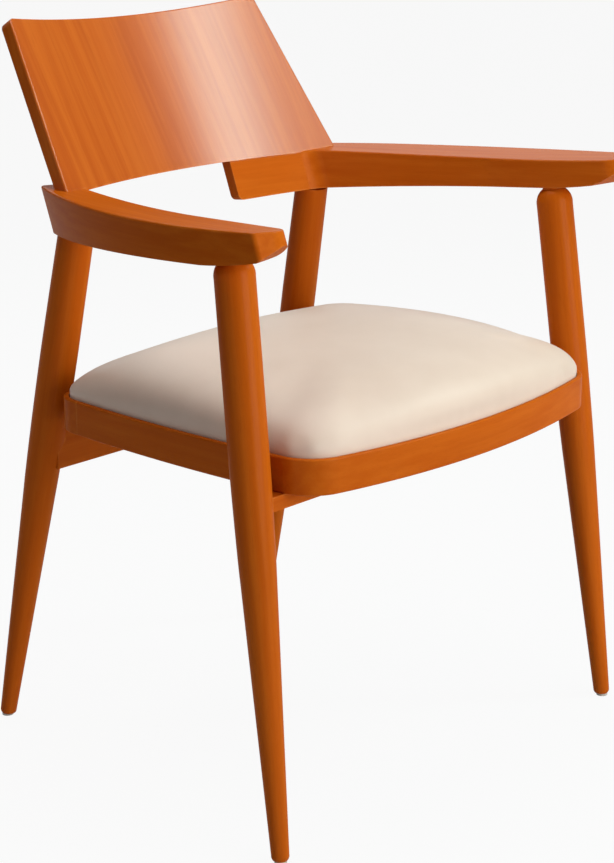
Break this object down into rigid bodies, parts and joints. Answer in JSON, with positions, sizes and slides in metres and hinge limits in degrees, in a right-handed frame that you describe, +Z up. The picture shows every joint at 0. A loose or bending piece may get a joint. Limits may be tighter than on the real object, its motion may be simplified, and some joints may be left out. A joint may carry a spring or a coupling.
{
  "type": "wooden armchair",
  "caption": "Open wooden armchair with tapered round legs, flat curved arms, a bent reclined back panel and a crowned upholstered seat set in a wooden rim.",
  "frame": {"origin": "on the floor, below the middle of the chair's width and depth", "axes": "+X towards the sitter's left, -Y towards the front of the seat, +Z up"},
  "size_m": [0.6336, 0.5338, 0.7958],
  "materials": {
    "frame_wood": "orange-brown stain under satin lacquer",
    "panel_veneer": "orange-brown stained veneer under satin lacquer, grain up the panel",
    "plain_wood": "unfinished, sanded",
    "seat_upholstery": "smooth cream upholstery with a soft sheen",
    "seat_filling": "open-cell foam",
    "dust_cloth": "matt non-woven cloth",
    "glide_plastic": "matt",
    "zinc_steel": "zinc plated"
  },
  "bodies": {
    "root": {"front_leg_left": "frame_wood", "front_leg_right": "frame_wood", "rear_leg_left": "frame_wood", "rear_leg_right": "frame_wood", "armrest_left": "frame_wood", "armrest_right": "frame_wood", "seat_rim_front": "frame_wood", "seat_rim_left": "frame_wood", "seat_rim_right": "frame_wood", "seat_rim_rear": "frame_wood", "front_cross_rail": "frame_wood", "rear_cross_rail": "frame_wood", "back_dowels": "plain_wood", "seat_rim_dowels": "plain_wood", "rail_dowels": "plain_wood", "corner_blocks": "plain_wood", "seat_board": "plain_wood", "back_panel": "panel_veneer", "foot_glides": "glide_plastic", "seat_cover": "seat_upholstery", "seat_foam": "seat_filling", "dust_cover": "dust_cloth", "dust_staples": "zinc_steel", "seat_screws": "zinc_steel"}
  },
  "joints": []
}
